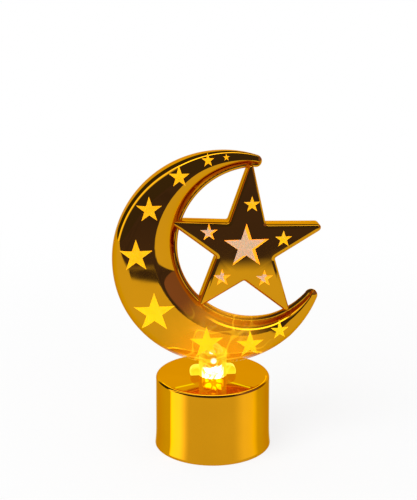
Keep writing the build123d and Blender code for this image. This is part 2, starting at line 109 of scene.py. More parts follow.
def add_range(tree, from_min, from_max, to_min=0.0, to_max=1.0, smooth=False):
    """A node that turns one range of values into another."""
    limits = {"From Min": from_min, "From Max": from_max, "To Min": to_min, "To Max": to_max}
    return add_node(tree, "MapRange", limits, interpolation_type="SMOOTHSTEP" if smooth else "LINEAR")


def join(tree, *ways):
    """Join sockets, each way being a node, its output, the next node and its input."""
    for source, output, target, entry in ways:
        tree.links.new(source.outputs[output], target.inputs[entry])


deselect()
bpy.context.tool_settings.mesh_select_mode = (False, True, False)
bpy.ops.mesh.primitive_circle_add(vertices=128, radius=FLOOR_HOLE_R)
floor = bpy.context.object
bpy.ops.object.mode_set(mode="EDIT")
bpy.ops.mesh.select_all(action="SELECT")
bpy.ops.mesh.extrude_region_move()
bpy.ops.transform.resize(value=(FLOOR_SPREAD, FLOOR_SPREAD, 1))
bpy.ops.mesh.select_all(action="SELECT")
bpy.ops.mesh.normals_make_consistent(inside=False)
bpy.ops.object.mode_set(mode="OBJECT")
if floor.data.polygons[0].normal.z < 0:
    floor.data.flip_normals()
floor.name = "table_top"
floor_white, floor_tree, floor_shader = new_material("table_white")
set_inputs(floor_shader, {"Base Color": (0.93, 0.93, 0.93, 1), "Roughness": 0.9, "Specular IOR Level": 0.0})
floor_light = add_node(floor_tree, "Emission", {"Strength": 1.0})
floor_mix = add_node(floor_tree, "MixShader")
floor_path = add_node(floor_tree, "LightPath")
floor_mirror = add_node(floor_tree, "Math", operation="MAXIMUM")
floor_seen = add_node(floor_tree, "Math", operation="MULTIPLY")
floor_place = add_node(floor_tree, "TexCoord")
floor_apart = add_node(floor_tree, "VectorMath", operation="LENGTH")
floor_far = add_range(floor_tree, 0.05, 0.30, 0.8, 1.0, smooth=True)
floor_side = add_node(floor_tree, "NewGeometry")
floor_clear = add_node(floor_tree, "BsdfTransparent")
floor_top = add_node(floor_tree, "MixShader")
join(
    floor_tree,
    (floor_path, "Is Camera Ray", floor_mirror, 0),
    (floor_path, "Is Glossy Ray", floor_mirror, 1),
    (floor_place, "Object", floor_apart, 0),
    (floor_apart, "Value", floor_far, "Value"),
    (floor_far, "Result", floor_seen, 1),
    (floor_mirror, "Value", floor_seen, 0),
    (floor_seen, "Value", floor_mix, "Fac"),
    (floor_shader, "BSDF", floor_mix, 1),
    (floor_light, "Emission", floor_mix, 2),
    (floor_side, "Backfacing", floor_top, "Fac"),
    (floor_mix, "Shader", floor_top, 1),
    (floor_clear, "BSDF", floor_top, 2),
    (floor_top, "Shader", floor_tree.nodes["Material Output"], "Surface"),
)
floor.data.materials.append(floor_white)

DARK = (0.058, 0.055, 0.45)
DIM_BLUE = (0.30, 0.18, 1.5)
BRIGHTEST = 4.5
PLAIN_LIGHT = 0.55
FIRST_IMAGE = 1.5


def white(level):
    """A plain light of some brightness."""
    return (level, level, level)


def add_mix(tree, colour=None, second=None):
    """A node that goes from one colour to a second one."""
    given = {socket: (*shade, 1) for socket, shade in ((6, colour), (7, second)) if shade}
    return add_node(tree, "Mix", given, data_type="RGBA")


def set_stops(ramp, levels):
    """Give a colour ramp its stops, each a position and a colour."""
    stops = ramp.color_ramp.elements
    while len(stops) < len(levels):
        stops.new(0.5)
    for stop, (position, colour) in zip(stops, levels):
        stop.position = position
        stop.color = (*colour, 1)


ROOM = [
    (0.00, DARK), (0.365, DARK), (0.395, white(4.5)), (0.425, white(4.5)), (0.45, DARK),
    (0.775, DARK), (0.84, white(1.3)), (1.0, white(1.2)),
]
LEFT_ROOM = [
    (0.00, DARK), (0.27, DARK), (0.305, white(1.2)), (0.39, white(2.4)), (0.45, DARK),
    (0.775, DARK), (0.84, white(1.3)), (1.0, white(1.2)),
]
RIGHT_ROOM = [(0.0, DIM_BLUE), (0.75, DIM_BLUE), (0.84, white(1.2))]
world = bpy.data.worlds.new("studio")
world.use_nodes = True
scene.world = world
world_tree = world.node_tree
world_sky = world_tree.nodes["Background"]
world_path = add_node(world_tree, "LightPath")
world_way = add_node(world_tree, "TexCoord")
world_axes = add_node(world_tree, "SeparateXYZ")
world_lean = add_node(world_tree, "Math", {1: -0.55, 2: -0.165}, operation="MULTIPLY_ADD")
world_left = add_node(world_tree, "Math", {1: 0.0}, operation="MAXIMUM")
world_turn = add_node(world_tree, "Math", operation="SUBTRACT")
world_depth = add_range(world_tree, -1.0, 1.0)
world_rings = []
for levels in (ROOM, RIGHT_ROOM, LEFT_ROOM):
    ring = add_node(world_tree, "ValToRGB")
    set_stops(ring, [(position, [part / BRIGHTEST for part in level]) for position, level in levels])
    join(world_tree, (world_depth, "Result", ring, "Fac"))
    world_rings.append(ring)
world_side = add_range(world_tree, 0.5, 0.75, smooth=True)
world_room = add_mix(world_tree)
world_far_left = add_range(world_tree, -0.25, -0.55, smooth=True)
world_halves = add_mix(world_tree)
world_again = add_node(world_tree, "Math", {1: FIRST_IMAGE}, operation="GREATER_THAN")
world_white = add_node(world_tree, "Math", operation="MAXIMUM")
world_first = add_node(world_tree, "Math", operation="SUBTRACT")
world_bright = add_node(world_tree, "VectorMath", {"Scale": BRIGHTEST}, operation="SCALE")
world_seen = add_node(world_tree, "Math", operation="MAXIMUM")
world_dim = add_node(world_tree, "Math", {1: PLAIN_LIGHT}, operation="MULTIPLY")
world_soft = add_range(world_tree, 0.0, 1.0, PLAIN_LIGHT, 1.0)
world_pick = add_mix(world_tree)
join(
    world_tree,
    (world_way, "Generated", world_axes, "Vector"),
    (world_axes, "X", world_lean, 0),
    (world_lean, "Value", world_left, 0),
    (world_axes, "Y", world_turn, 0),
    (world_left, "Value", world_turn, 1),
    (world_turn, "Value", world_depth, "Value"),
    (world_axes, "X", world_side, "Value"),
    (world_side, "Result", world_room, 0),
    (world_axes, "X", world_far_left, "Value"),
    (world_far_left, "Result", world_halves, 0),
    (world_rings[0], "Color", world_halves, 6),
    (world_rings[2], "Color", world_halves, 7),
    (world_halves, 2, world_room, 6),
    (world_rings[1], "Color", world_room, 7),
    (world_room, 2, world_bright, 0),
    (world_path, "Is Camera Ray", world_seen, 0),
    (world_path, "Is Transmission Ray", world_seen, 1),
    (world_path, "Glossy Depth", world_again, 0),
    (world_seen, "Value", world_white, 0),
    (world_again, "Value", world_dim, 0),
    (world_dim, "Value", world_white, 1),
    (world_white, "Value", world_soft, "Value"),
    (world_path, "Is Glossy Ray", world_first, 0),
    (world_again, "Value", world_first, 1),
    (world_first, "Value", world_pick, 0),
    (world_soft, "Result", world_pick, 6),
    (world_bright, "Vector", world_pick, 7),
    (world_pick, 2, world_sky, "Color"),
)

key_data = bpy.data.lights.new("key_softbox", "AREA")
key_data.size = 0.8
key_data.energy = 9
key = bpy.data.objects.new("key_softbox", key_data)
key.location = (-0.5, -0.4, 1.1)
key.rotation_euler = (Vector((0, 0, 0.05)) - key.location).to_track_quat("-Z", "Y").to_euler()
key.visible_glossy = False
scene.collection.objects.link(key)


def add_noise(tree, scale, detail):
    """A cloudy pattern."""
    return add_node(tree, "TexNoise", {"Scale": scale, "Detail": detail})


def mirror_card(name, place_of, steps, levels, colour, second, strength):
    """A card that only a first mirror image shows, as solid as its levels say from side to side."""
    deselect()
    bpy.ops.mesh.primitive_grid_add(x_subdivisions=2, y_subdivisions=steps, size=1)
    card = bpy.context.object
    card.name = name
    for vertex in card.data.vertices:
        vertex.co = place_of(vertex.co.x + 0.5, vertex.co.y + 0.5)
    material, tree, _ = new_material(name)
    tree.nodes.clear()
    place = add_node(tree, "TexCoord")
    sides = add_node(tree, "SeparateXYZ")
    ramp = add_node(tree, "ValToRGB")
    ramp.color_ramp.interpolation = "EASE"
    set_stops(ramp, [(position, (level, level, level)) for position, level in levels])
    cloud = add_noise(tree, 26, 3)
    patches = add_mix(tree, colour, second)
    path = add_node(tree, "LightPath")
    first = add_node(tree, "Math", {1: FIRST_IMAGE}, operation="LESS_THAN")
    shown = add_node(tree, "Math", operation="MULTIPLY")
    light = add_node(tree, "Emission", {"Strength": strength})
    clear = add_node(tree, "BsdfTransparent")
    mix = add_node(tree, "MixShader")
    out = add_node(tree, "OutputMaterial")
    join(
        tree,
        (place, "UV", sides, "Vector"),
        (sides, "X", ramp, "Fac"),
        (place, "UV", cloud, "Vector"),
        (cloud, "Fac", patches, 0),
        (patches, 2, light, "Color"),
        (path, "Glossy Depth", first, 0),
        (first, "Value", shown, 0),
        (ramp, "Color", shown, 1),
        (shown, "Value", mix, "Fac"),
        (clear, "BSDF", mix, 1),
        (light, "Emission", mix, 2),
        (mix, "Shader", out, "Surface"),
    )
    card.data.materials.append(material)
    card.visible_camera = False
    card.visible_diffuse = False
    card.visible_shadow = False
    card.visible_transmission = False


mirror_card(
    "dark_floor", lambda across, along: (-3.3 + 6.6 * along, -0.205 - 3.1 * across, 0.0006), 2,
    [(0.0, 0.0), (0.008, 1.0)], (0.035, 0.032, 0.4), (0.105, 0.085, 0.9), 1,
)
TONGUE_SHADE = (0.060, 0.052, 0.5)


def under_star(across, along):
    """A dark tongue on the table, seen only in mirror images, that runs from the dark floor towards the ornament
    and paints a dark band into its reflection.
    """
    return -0.03 + 0.046 * along, -0.208 + 0.032 * along - (0.012 + 0.032 * along) * across, 0.0008


mirror_card("dark_floor_tongue", under_star, 2, [(0.0, 0.0), (0.25, 1.0)], TONGUE_SHADE, TONGUE_SHADE, 1)

WALL_R = 0.0198
REFLECTOR_GAP = 0.003
REFLECTOR_H = 0.0242
SIGHT_DEG = 6.3


def wall_stripe(name, from_deg, to_deg, levels, strength):
    """A reflector close beside the base, which the round wall shows as one upright stripe."""
    def place_of(across, along):
        wall_deg = from_deg + (to_deg - from_deg) * across
        facing = math.radians(wall_deg + SIGHT_DEG)
        away = math.radians(2 * wall_deg + SIGHT_DEG)
        return (WALL_R * math.sin(facing) + REFLECTOR_GAP * math.sin(away),
                -WALL_R * math.cos(facing) - REFLECTOR_GAP * math.cos(away), REFLECTOR_H * along)
    mirror_card(name, place_of, 1, levels, white(1), white(1), strength)


wall_stripe("left_reflector", -59, -34, [(0.0, 0.0), (0.12, 1.0), (0.45, 0.9), (1.0, 0.0)], 2.6)
wall_stripe("right_reflector", 8, 42, [(0.0, 0.0), (0.45, 0.75), (0.75, 0.9), (1.0, 0.0)], 1.55)

# Painted reflections: two glowing cards beside the neck, seen only in mirror images, which the base's top shows as
# yellow streaks.
STREAK = (0.6, 1.0, 0.8)
for name, way, rise in (("left_streak", -1, 0.0016), ("right_streak", 1, 0.0027)):
    mirror_card(
        name,
        lambda across, along: (way * (0.005 + 0.008 * along), -0.001, 0.0274 + rise * along + 0.0008 * across), 2,
        [(0.0, 0.0), (0.4, 1.0), (0.6, 1.0), (1.0, 0.0)], STREAK, STREAK, 2.8,
    )


def over_rim(across, along):
    """A narrow curved strip hung above the front of the base's shoulder."""
    turn = math.radians(-82 + 176 * along)
    out = 0.0183 + 0.0013 * across
    return out * math.sin(turn), -out * math.cos(turn), 0.0272


mirror_card(
    "rim_reflector", over_rim, 48, [(0.0, 0.0), (0.35, 1.0), (0.65, 1.0), (1.0, 0.0)], white(0.9), white(1), 3.0,
)

# Base cup: one injection moulding, open below, with a rounded shoulder and a flared foot, plated
# all over with mirror gold. The neck stands in the round socket in the middle of its top.
MM = 0.001
FOOT_R = 20.0
WAIST_R = 19.62
WAIST_Z = 6.5
BASE_TOP_R = 19.45
BASE_H = 25.0
SOCKET_R = 4.85
SOCKET_Z = 21.5
COLLAR_R = 6.25
ROOF_Z = 23.4
COVER_SEAT_R = 18.825
COVER_SEAT_Z = 2.9
LAMP_PLACE = (0, 0, 0.031)
GOLD = (0.64, 0.285, 0.006)


def turned(name, points, steps, rounded=()):
    """A closed outline of radius and height, its listed corners rounded, spun about the upright axis."""
    deselect()
    bpy.ops.mesh.primitive_circle_add(vertices=len(points), radius=1)
    piece = bpy.context.object
    piece.name = name
    for corner, (radius, height) in zip(piece.data.vertices, points):
        corner.co = (radius * MM, 0, height * MM)
    for index, edge_r, segments in sorted(rounded, reverse=True):
        target = Vector((points[index][0] * MM, 0, points[index][1] * MM))
        bpy.context.tool_settings.mesh_select_mode = (True, False, False)
        for edge in piece.data.edges:
            edge.select = False
        for vertex in piece.data.vertices:
            vertex.select = (vertex.co - target).length < 1e-7
        bpy.ops.object.mode_set(mode="EDIT")
        bpy.ops.mesh.bevel(offset=edge_r * MM, segments=segments, affect="VERTICES", clamp_overlap=False)
        bpy.ops.object.mode_set(mode="OBJECT")
    bpy.ops.object.mode_set(mode="EDIT")
    bpy.ops.mesh.select_all(action="SELECT")
    bpy.ops.mesh.spin(steps=steps, angle=2 * math.pi, center=(0, 0, 0), axis=(0, 0, 1))
    bpy.ops.mesh.select_all(action="SELECT")
    bpy.ops.mesh.remove_doubles(threshold=1e-7)
    bpy.ops.mesh.dissolve_degenerate(threshold=1e-7)
    bpy.ops.mesh.select_all(action="SELECT")
    bpy.ops.mesh.normals_make_consistent(inside=False)
    bpy.ops.object.mode_set(mode="OBJECT")
    return piece


def pick(piece):
    """Make one piece the only one that operators act on."""
    deselect()
    piece.select_set(True)
    bpy.context.view_layer.objects.active = piece


def finish_smooth(piece, angle_deg):
    """Smooth shading between gentle edges, with broad flat faces kept flat."""
    pick(piece)
    bpy.ops.object.shade_smooth_by_angle(angle=math.radians(angle_deg))
    weighted = piece.modifiers.new("broad_faces", "WEIGHTED_NORMAL")
    weighted.keep_sharp = True
    bpy.ops.object.modifier_apply(modifier=weighted.name)


def light_veins(tree, place, scale, thin, wide, strongest):
    """Fine lines of painted light that run through lit plastic, strongest along their middle."""
    vein = add_noise(tree, scale, 1)
    off = add_node(tree, "Math", {1: 0.5}, operation="SUBTRACT")
    size = add_node(tree, "Math", operation="ABSOLUTE")
    line = add_range(tree, thin, wide, strongest, 0.0)
    join(
        tree,
        (place, "Object", vein, "Vector"),
        (vein, "Fac", off, 0),
        (off, "Value", size, 0),
        (size, "Value", line, "Value"),
    )
    return line


def gold_plating(name, colour, rough_low, rough_high, see_through):
    """Mirror gold on plastic: faint haze and ripple from the vacuum coating, thinner near the lamp, where it also
    carries a painted glow of the lamp's light.
    """
    material, tree, shader = new_material(name)
    set_inputs(shader, {"Metallic": 1.0, "Specular Tint": (0.78, 0.52, 0.10, 1)})
    place = add_node(tree, "TexCoord")
    tint = add_noise(tree, 60, 3)
    shades = add_node(tree, "ValToRGB")
    set_stops(shades, [(0.3, [0.93 * part for part in colour]), (0.7, colour)])
    haze = add_noise(tree, 220, 4)
    haze_range = add_range(tree, 0.3, 0.75, rough_low, rough_high)
    ripple = add_noise(tree, 90, 1)
    bump = add_node(tree, "Bump", {"Strength": 0.02, "Distance": 0.001})
    join(
        tree,
        *[(place, "Object", texture, "Vector") for texture in (tint, haze, ripple)],
        (tint, "Fac", shades, "Fac"),
        (shades, "Color", shader, "Base Color"),
        (haze, "Fac", haze_range, "Value"),
        (haze_range, "Result", shader, "Roughness"),
        (ripple, "Fac", bump, "Height"),
        (bump, "Normal", shader, "Normal"),
    )
    if see_through > 0:
        apart = add_node(tree, "VectorMath", {1: LAMP_PLACE}, operation="DISTANCE")
        near = add_range(tree, 0.004, 0.026, see_through, 0.0, smooth=True)
        clear = add_node(tree, "BsdfTransparent")
        mix = add_node(tree, "MixShader")
        # Painted glow of the lamp's light: strongest at the lamp, gone 24 mm away, coloured by lines of painted
        # light.
        glow = add_range(tree, 0.002, 0.024, 1.2, 0.0, smooth=True)
        veins = light_veins(tree, place, 75, 0.004, 0.016, 1.0)
        painted_glow_colour = add_mix(tree, (0.25, 0.175, 0.002), (1.1, 0.75, 0.02))
        join(
            tree,
            (veins, "Result", painted_glow_colour, 0),
            (painted_glow_colour, 2, shader, "Emission Color"),
            (place, "Object", apart, 0),
            (apart, "Value", glow, "Value"),
            (glow, "Result", shader, "Emission Strength"),
            (apart, "Value", near, "Value"),
            (near, "Result", mix, "Fac"),
            (shader, "BSDF", mix, 1),
            (clear, "BSDF", mix, 2),
            (mix, "Shader", tree.nodes["Material Output"], "Surface"),
        )
    return material


flare = [(WAIST_R + (FOOT_R - WAIST_R) * (1 - step / 6) ** 2, WAIST_Z * step / 6) for step in range(1, 7)]
cup_outline = [
    (COVER_SEAT_R, 0), (FOOT_R, 0), *flare, (BASE_TOP_R, BASE_H), (SOCKET_R, BASE_H), (SOCKET_R, SOCKET_Z),
    (COLLAR_R, SOCKET_Z), (COLLAR_R, ROOF_Z), (17.95, ROOF_Z), (18.175, COVER_SEAT_Z), (COVER_SEAT_R, COVER_SEAT_Z),
]
shoulder = cup_outline.index((BASE_TOP_R, BASE_H))
base_cup = turned("gold_base_cup", cup_outline, 256, [(1, 0.15, 3), (shoulder, 1.1, 10), (shoulder + 1, 0.2, 3)])
finish_smooth(base_cup, 35)
base_cup.data.materials.append(gold_plating("base_plating", GOLD, 0.03, 0.06, 0))
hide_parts("base_cup")
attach(base_cup, "base")

# Plated crescent, front and back half: clear mouldings with a soft crease between the face and the
# sloping inner bevel, plated outside, with star windows left bare. The halves meet in a fine seam.
DISC = (3.0, 66.2, 36.6)
INNER = (14.0, 71.1, 25.9)
CREASE = (9.9, 70.7, 29.6)
HALF_T = 6.5
EDGE_R = 5.5
INNER_HALF_T = 1.75
BEAD_R = 1.0
CREASE_SOFT = 0.3
BULGE = 0.45
HORNS = (71.2, 335.3)
HORN_THINNING = 0.42
HORN_SOFT = 0.3
HORN_DRAWN_IN = 0.75
DRAWN_FROM_DEG = 310
SEAM = 0.1
SHELL_WALL = 0.4
STATIONS = 220
NOSE = 16
ACROSS = 120
WALL = 3
CUTTER_FRONT = -0.009
CUTTER_DEPTH = 0.0083
CRESCENT_WINDOWS = [
    (4.1, 100.8, 1.15), (-2.0, 100.1, 2.15), (-11.5, 95.2, 3.5), (-21.4, 84.8, 4.35), (-25.9, 69.5, 5.65),
    (-20.2, 49.8, 7.1), (-2.8, 38.4, 5.8), (12.0, 37.1, 4.8), (22.3, 41.3, 3.25),
]


def choose_faces(piece, wanted):
    """Select only the wanted faces of a piece, ready for edit mode."""
    bpy.context.tool_settings.mesh_select_mode = (False, False, True)
    for vertex in piece.data.vertices:
        vertex.select = False
    for edge in piece.data.edges:
        edge.select = False
    for face in piece.data.polygons:
        face.select = wanted(face)


def choose_edges(piece, wanted):
    """Select only the edges whose two ends are both wanted."""
    bpy.context.tool_settings.mesh_select_mode = (False, True, False)
    for vertex in piece.data.vertices:
        vertex.select = False
    for face in piece.data.polygons:
        face.select = False
    for edge in piece.data.edges:
        edge.select = all(wanted(piece.data.vertices[end].co) for end in edge.vertices)


def reach(circle, angle):
    """How far a ray from the disc's centre runs to a circle."""
    ray = (math.cos(angle), math.sin(angle))
    apart = (circle[0] - DISC[0], circle[1] - DISC[1])
    along = apart[0] * ray[0] + apart[1] * ray[1]
    return along + math.sqrt(along**2 - apart[0]**2 - apart[1]**2 + circle[2]**2)


def soft_min(a, b, soft):
    """The lower of two heights, eased where they are nearly equal."""
    near = max(soft - abs(a - b), 0) / soft
    return min(a, b) - near * near * soft / 4


def crescent_point(station, across):
    """A point of the front half's skin, counted along the crescent and from inner to outer seam."""
    if station < NOSE:
        nose = 90 * (1 - station / NOSE)
        angle = math.radians(HORNS[0])
        onward = 1
    elif station > STATIONS - NOSE:
        nose = 90 * (1 - (STATIONS - station) / NOSE)
        angle = math.radians(HORNS[1])
        onward = -1
    else:
        nose = 0
        share = (station - NOSE) / (STATIONS - 2 * NOSE)
        angle = math.radians(HORNS[0] + (HORNS[1] - HORNS[0]) * share)
        onward = 0
    inner = reach(INNER, angle)
    crease = reach(CREASE, angle)
    outer = DISC[2]
    width = outer - inner
    taper = soft_min(1, HORN_THINNING * width / HALF_T, HORN_SOFT)
    if across <= WALL:
        low = across / WALL
        s = inner + SEAM * (1 - low) ** 2
        depth = (INNER_HALF_T - BEAD_R) * low
    elif across >= ACROSS - WALL:
        low = (ACROSS - across) / WALL
        s = outer - SEAM * (1 - low) ** 2
        depth = (HALF_T - EDGE_R) * low
    else:
        share = (across - WALL) / (ACROSS - 2 * WALL)
        s = inner + width * (1 - math.cos(math.pi * share)) / 2
        run = s - inner
        bead = INNER_HALF_T - BEAD_R + math.sqrt(max(BEAD_R**2 - (BEAD_R - run) ** 2, 0))
        start = min(1.3 * BEAD_R, 0.3 * width)
        climb = (run - start) / (max(crease - inner, start + 0.25 * width) - start)
        bevel = INNER_HALF_T + (HALF_T - INNER_HALF_T) * (climb + BULGE * max(climb, 0) * (1 - min(climb, 1)))
        round_run = max(s - (outer - EDGE_R), 0)
        edge = HALF_T - EDGE_R + math.sqrt(max(EDGE_R**2 - round_run**2, 0))
        depth = soft_min(bevel, edge, CREASE_SOFT)
        if run < 2 * BEAD_R:
            depth = max(depth, min(bead, edge))
    depth *= taper
    middle = (inner + outer) / 2
    shrink = math.cos(math.radians(nose))
    drawn_in = HORN_DRAWN_IN * max(math.degrees(angle) - DRAWN_FROM_DEG, 0) / (HORNS[1] - DRAWN_FROM_DEG)
    s = middle + (s - middle) * shrink - drawn_in
    depth *= shrink
    x = DISC[0] + s * math.cos(angle)
    z = DISC[1] + s * math.sin(angle)
    ahead = onward * width / 2 * math.sin(math.radians(nose))
    return Vector((x + ahead * math.sin(angle), -depth, z - ahead * math.cos(angle))) * MM


def star_corners(tips, notches, turn_deg):
    """Corners of a five-point star, clockwise from its top arm, from the reach of each tip and notch."""
    corners = []
    for arm, (tip, inner_r) in enumerate(zip(tips, notches)):
        tip_angle = math.radians(90 - turn_deg - 72 * arm)
        notch_angle = tip_angle - math.radians(36)
        corners.append((tip * math.cos(tip_angle), tip * math.sin(tip_angle)))
        corners.append((inner_r * math.cos(notch_angle), inner_r * math.sin(notch_angle)))
    return corners


PLAIN_NOTCH = math.cos(math.radians(72)) / math.cos(math.radians(36))


def in_star(x, z, radius):
    """True inside a regular upright star about its own middle."""
    angle = math.degrees(math.atan2(x, z)) % 72
    angle = math.radians(min(angle, 72 - angle))
    across, along = math.hypot(x, z) * math.sin(angle), math.hypot(x, z) * math.cos(angle)
    notch_x = radius * PLAIN_NOTCH * math.sin(math.radians(36))
    notch_z = radius * PLAIN_NOTCH * math.cos(math.radians(36))
    return (radius - along) * notch_x - across * (radius - notch_z) > 0


def cut_windows(skin, windows):
    """Cut star outlines through a skin and part off what lies inside them, as panes of their own."""
    bpy.context.tool_settings.mesh_select_mode = (False, True, False)
    cutters = []
    for x, z, radius in windows:
        deselect()
        bpy.ops.mesh.primitive_circle_add(vertices=10, radius=1)
        cutter = bpy.context.object
        corners = star_corners([radius] * 5, [radius * PLAIN_NOTCH] * 5, 0)
        for vertex, (side, up) in zip(cutter.data.vertices, corners):
            vertex.co = ((x + side) * MM, CUTTER_FRONT, (z + up) * MM)
        bpy.ops.object.mode_set(mode="EDIT")
        bpy.ops.mesh.select_all(action="SELECT")
        bpy.ops.mesh.extrude_region_move(TRANSFORM_OT_translate={"value": (0, CUTTER_DEPTH, 0)})
        bpy.ops.object.mode_set(mode="OBJECT")
        cutters.append(cutter)
    pick(skin)
    for cutter in cutters:
        cutter.select_set(True)
    skin_faces = len(skin.data.polygons)
    bpy.ops.object.join()
    for face in skin.data.polygons:
        face.material_index = 1 if face.index >= skin_faces else 0
    choose_faces(skin, lambda face: face.material_index == 1)
    bpy.ops.object.mode_set(mode="EDIT")
    bpy.ops.mesh.intersect(mode="SELECT_UNSELECT", separate_mode="NONE", solver="EXACT")
    bpy.ops.object.mode_set(mode="OBJECT")
    choose_faces(skin, lambda face: face.material_index == 1)
    bpy.ops.object.mode_set(mode="EDIT")
    bpy.ops.mesh.delete(type="FACE")
    bpy.ops.mesh.select_all(action="SELECT")
    bpy.ops.mesh.quads_convert_to_tris(quad_method="BEAUTY", ngon_method="BEAUTY")
    bpy.ops.object.mode_set(mode="OBJECT")
    choose_faces(skin, lambda face: any(
        in_star(face.center.x / MM - x, face.center.z / MM - z, radius) for x, z, radius in windows))
    bpy.ops.object.mode_set(mode="EDIT")
    bpy.ops.mesh.separate(type="SELECTED")
    bpy.ops.object.mode_set(mode="OBJECT")
    return [shown for shown in bpy.context.selected_objects if shown is not skin][0]


def thicken(sheet, thickness, inside):
    """Give a skin its wall, inwards, with its own finish on the inside."""
    pick(sheet)
    wall = sheet.modifiers.new("wall", "SOLIDIFY")
    wall.thickness = thickness * MM
    wall.offset = -1
    wall.use_even_offset = False
    wall.material_offset = inside
    wall.material_offset_rim = inside + 1
    bpy.ops.object.modifier_apply(modifier=wall.name)


def face_out(sheet):
    """Turn a front skin's faces towards the front."""
    pick(sheet)
    bpy.ops.object.mode_set(mode="EDIT")
    bpy.ops.mesh.select_all(action="SELECT")
    bpy.ops.mesh.remove_doubles(threshold=2e-7)
    bpy.ops.mesh.dissolve_degenerate(threshold=1e-7)
    bpy.ops.mesh.select_all(action="SELECT")
    bpy.ops.mesh.normals_make_consistent(inside=False)
    bpy.ops.object.mode_set(mode="OBJECT")
    if sum(face.normal.y * face.area for face in sheet.data.polygons) > 0:
        sheet.data.flip_normals()


def copy_of(piece, name):
    """A second piece of the same shape."""
    twin = piece.copy()
    twin.data = piece.data.copy()
    twin.name = name
    scene.collection.objects.link(twin)
    return twin


def turn_to_back(piece):
    """Mirror a front piece through the seam, for the back."""
    for vertex in piece.data.vertices:
        vertex.co.y = -vertex.co.y
    piece.data.flip_normals()


def window_plastic(name, colour, solid, glow, start=0.0, rise=1.0, second=None):
    """Bare plastic lit from within by a painted glow, its colour changing to a second one upwards from a height, in
    millimetres.
    """
    material, tree, shader = new_material(name)
    set_inputs(shader, {"Roughness": 0.15, "Specular IOR Level": 0.08, "Emission Strength": glow})
    place = add_node(tree, "TexCoord")
    cloud = add_noise(tree, 260, 2)
    height = add_node(tree, "VectorMath", {1: (0, 0, 1 / MM)}, operation="DOT_PRODUCT")
    change = add_range(tree, start, start + rise, smooth=True)
    shades = add_mix(tree, colour, second or colour)
    mottle = add_range(tree, 0.3, 0.7, 0.92, 1.04)
    tone = add_node(tree, "VectorMath", operation="SCALE")
    clear = add_node(tree, "BsdfTransparent")
    mix = add_node(tree, "MixShader", {"Fac": solid})
    join(
        tree,
        (place, "Object", cloud, "Vector"),
        (place, "Object", height, 0),
        (height, "Value", change, "Value"),
        (change, "Result", shades, 0),
        (cloud, "Fac", mottle, "Value"),
        (shades, 2, tone, 0),
        (mottle, "Result", tone, "Scale"),
        (tone, "Vector", shader, "Base Color"),
        (tone, "Vector", shader, "Emission Color"),
        (clear, "BSDF", mix, 1),
        (shader, "BSDF", mix, 2),
        (mix, "Shader", tree.nodes["Material Output"], "Surface"),
    )
    return material


# The plating, the lining behind it, the windows' cut edges and the bare windows carry a painted glow of the lamp's
# light; the lining's and the windows' glow changes colour with height.
shell_plating = gold_plating("shell_plating", GOLD, 0.03, 0.06, 0.72)
lining = window_plastic("lit_lining", (0.56, 0.22, 0.004), 1.0, 0.75, 36, 16, (1.0, 0.52, 0.02))
lining_tree = lining.node_tree
lining_place = add_node(lining_tree, "TexCoord")
lining_axes = add_node(lining_tree, "SeparateXYZ")
lining_apart = add_node(lining_tree, "VectorMath", {1: LAMP_PLACE}, operation="DISTANCE")
lining_back = add_node(lining_tree, "Math", {1: 0.0}, operation="GREATER_THAN")
lining_far = add_range(lining_tree, 0.010, 0.022, 0.1, 1.0)
lining_solid = add_node(lining_tree, "Math", operation="MAXIMUM")
join(
    lining_tree,
    (lining_place, "Object", lining_axes, "Vector"),
    (lining_place, "Object", lining_apart, 0),
    (lining_axes, "Y", lining_back, 0),
    (lining_apart, "Value", lining_far, "Value"),
    (lining_far, "Result", lining_solid, 0),
    (lining_back, "Value", lining_solid, 1),
    (lining_solid, "Value", lining_tree.nodes["Mix Shader"], "Fac"),
)
window_edge = window_plastic("window_edge", (1.0, 0.62, 0.03), 1.0, 0.7)
yellow_window = window_plastic("yellow_window", (0.95, 0.60, 0.005), 0.8, 0.45, 40, 45, (0.82, 0.42, 0.004))


def shell_half(skin, panes, pane_material, node):
    """Wall, finish and riding of one half's skin and panes."""
    for sheet, finish, inside in ((skin, shell_plating, lining), (panes, pane_material, pane_material)):
        sheet.data.materials.clear()
        sheet.data.materials.append(finish)
        sheet.data.materials.append(inside)
        sheet.data.materials.append(window_edge)
        for face in sheet.data.polygons:
            face.material_index = 0
        thicken(sheet, SHELL_WALL, 1)
        finish_smooth(sheet, 40)
        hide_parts(node)
        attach(sheet, "base")


deselect()
bpy.ops.mesh.primitive_grid_add(x_subdivisions=STATIONS, y_subdivisions=ACROSS, size=1)
crescent = bpy.context.object
crescent.name = "crescent_front"
for vertex in crescent.data.vertices:
    station = round((vertex.co.x + 0.5) * STATIONS)
    across = round((vertex.co.y + 0.5) * ACROSS)
    vertex.co = crescent_point(station, across)
face_out(crescent)
crescent_panes = cut_windows(crescent, CRESCENT_WINDOWS)
crescent_panes.name = "crescent_windows_front"
crescent_back = copy_of(crescent, "crescent_back")
crescent_panes_back = copy_of(crescent_panes, "crescent_windows_back")
turn_to_back(crescent_back)
turn_to_back(crescent_panes_back)
shell_half(crescent, crescent_panes, yellow_window, "front_shell")
shell_half(crescent_back, crescent_panes_back, yellow_window, "back_shell")

